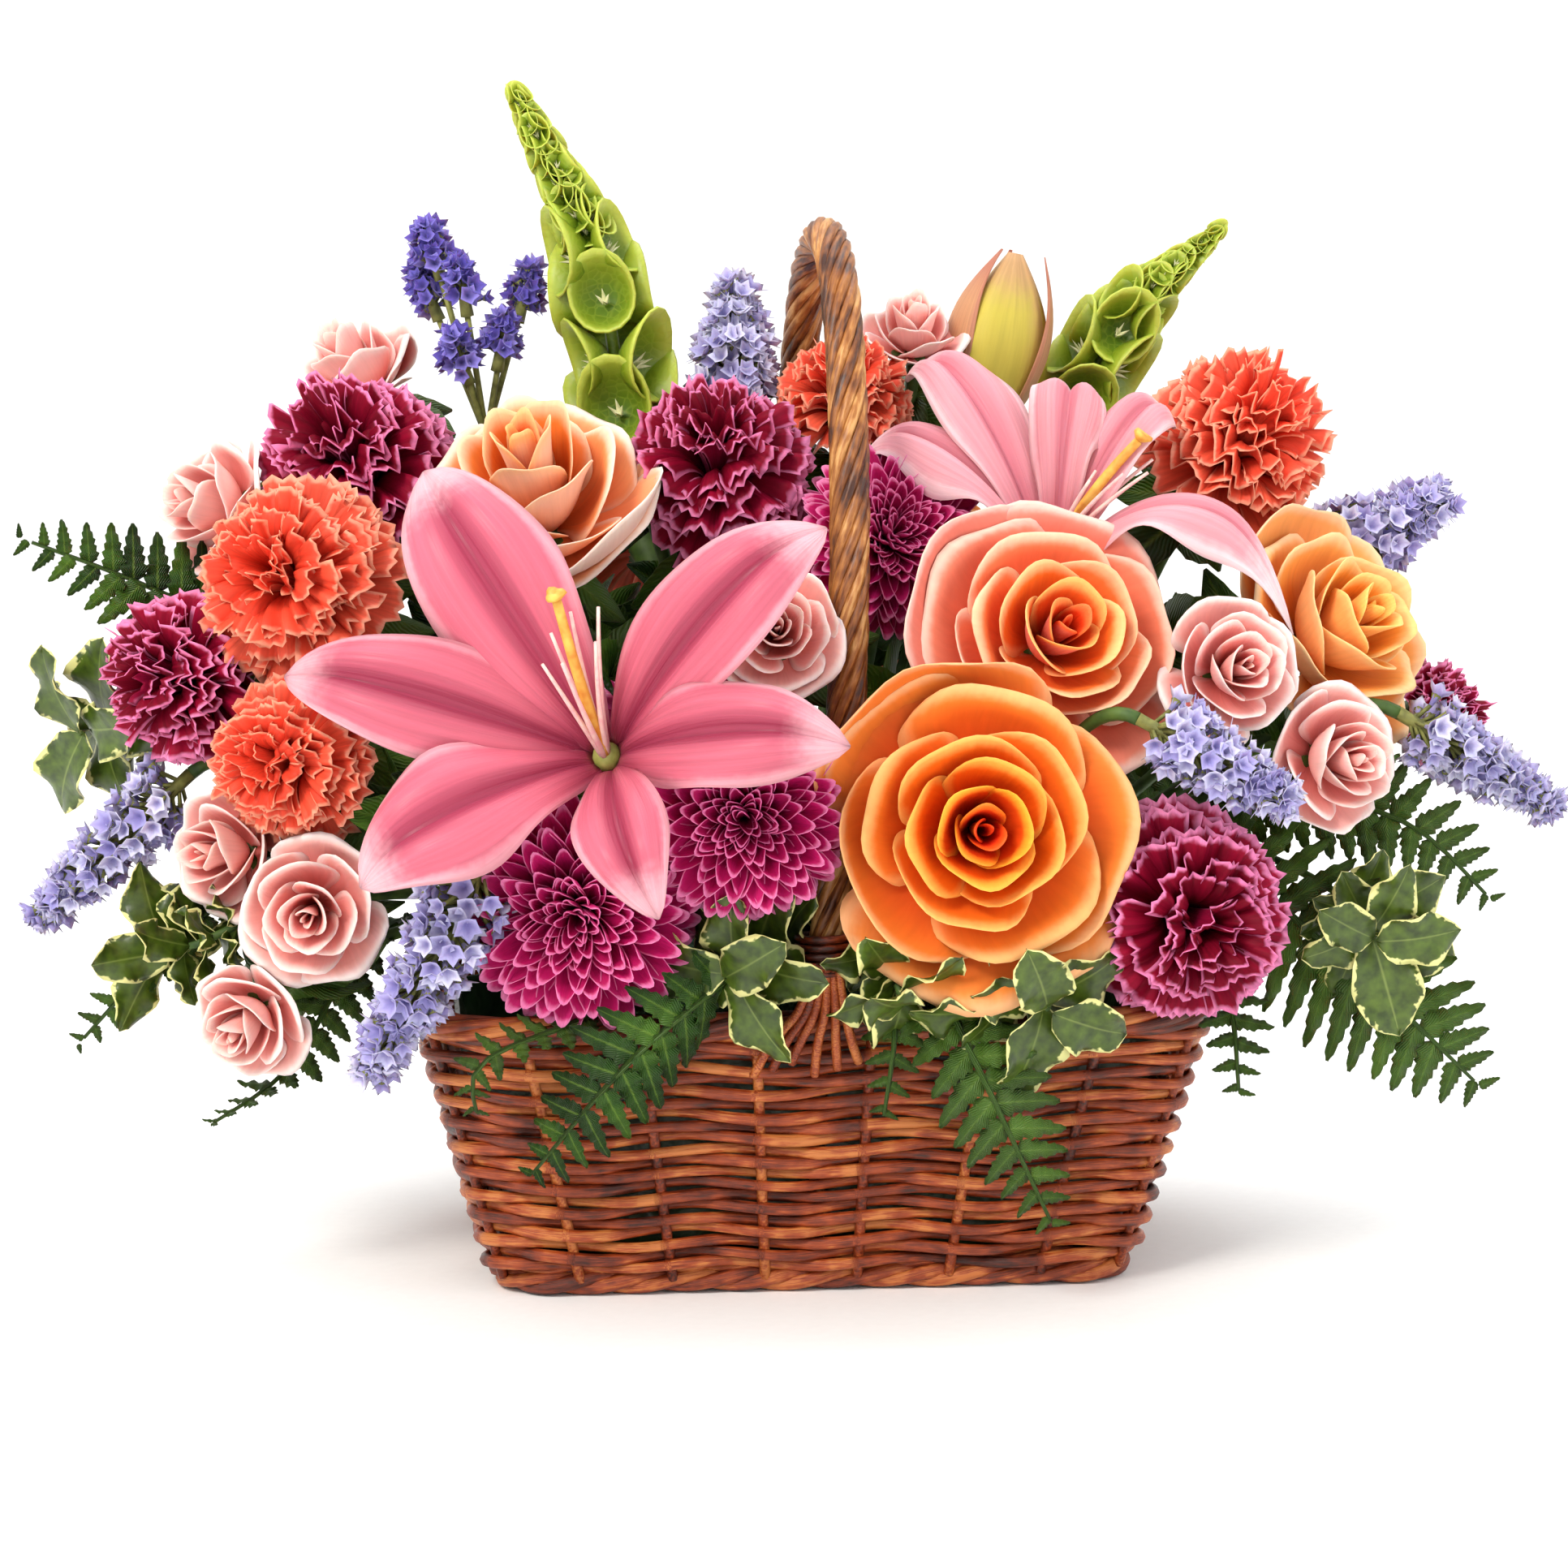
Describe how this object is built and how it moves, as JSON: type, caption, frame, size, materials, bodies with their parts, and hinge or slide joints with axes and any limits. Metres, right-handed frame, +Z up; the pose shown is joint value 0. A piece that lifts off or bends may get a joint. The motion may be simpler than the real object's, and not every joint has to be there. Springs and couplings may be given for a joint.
{
  "type": "flower basket arrangement",
  "caption": "Low oblong willow basket with a hoop handle, lined and filled with wet flower foam that holds a full, low arrangement of cut flowers and greenery; stands on its flat base.",
  "frame": {"origin": "middle of the basket's flat underside, on the surface it stands on", "axes": "+Z up; +X along the basket's long side, to the right as seen from the front; -Y towards the viewer, the arrangement's full front"},
  "size_m": [0.4904, 0.2825, 0.3728],
  "materials": {
    "willow": "satin, stained red-brown",
    "handle_willow": "satin, golden brown",
    "liner": "dull dark green",
    "foam": "matte, wet",
    "stem": "green, soft sheen",
    "rose": "velvety",
    "lily": "soft sheen",
    "lily_pale": "soft sheen",
    "stamen": "matte",
    "bud": "soft sheen",
    "spray_rose": "velvety",
    "coral": "matte",
    "burgundy": "matte",
    "magenta": "matte",
    "statice": "papery",
    "statice_blue": "papery",
    "bell_green": "soft sheen",
    "fern": "leathery",
    "pittosporum": "glossy leaf with pale edge"
  },
  "bodies": {
    "root": {"basket_base": "willow", "basket_wall": "willow", "basket_rim": "willow", "basket_handle": "handle_willow", "lashing_front": "willow", "lashing_back": "willow", "liner": "liner", "flower_foam": "foam", "rose_front": "rose", "rose_right": "rose", "rose_top": "rose", "rose_side": "rose", "rose_back": "rose", "lily_front": "lily", "lily_front_stamens": "stamen", "lily_back": "lily_pale", "lily_bud": "bud", "spray_rose_1": "spray_rose", "spray_rose_2": "spray_rose", "spray_rose_3": "spray_rose", "spray_rose_4": "spray_rose", "spray_rose_5": "spray_rose", "spray_rose_6": "spray_rose", "spray_rose_7": "spray_rose", "spray_rose_8": "spray_rose", "spray_rose_9": "spray_rose", "spray_rose_10": "spray_rose", "coral_carnation_1": "coral", "coral_carnation_2": "coral", "coral_carnation_3": "coral", "coral_carnation_4": "coral", "coral_carnation_5": "coral", "burgundy_carnation_1": "burgundy", "burgundy_carnation_2": "burgundy", "burgundy_carnation_3": "burgundy", "burgundy_carnation_4": "burgundy", "burgundy_carnation_5": "burgundy", "chrysanthemum_1": "magenta", "chrysanthemum_2": "magenta", "chrysanthemum_3": "magenta", "chrysanthemum_4": "magenta", "statice_1": "statice", "statice_2": "statice", "statice_3": "statice", "statice_4": "statice", "statice_5": "statice", "statice_6": "statice", "blue_statice": "statice_blue", "bells_of_ireland_1": "bell_green", "bells_of_ireland_2": "bell_green", "fern_left": "fern", "fern_right": "fern", "fern_front": "fern", "fern_back": "fern", "pittosporum_left": "pittosporum", "pittosporum_front": "pittosporum", "pittosporum_right": "pittosporum", "stems_left": "stem", "stems_middle": "stem", "stems_right": "stem"}
  },
  "joints": []
}
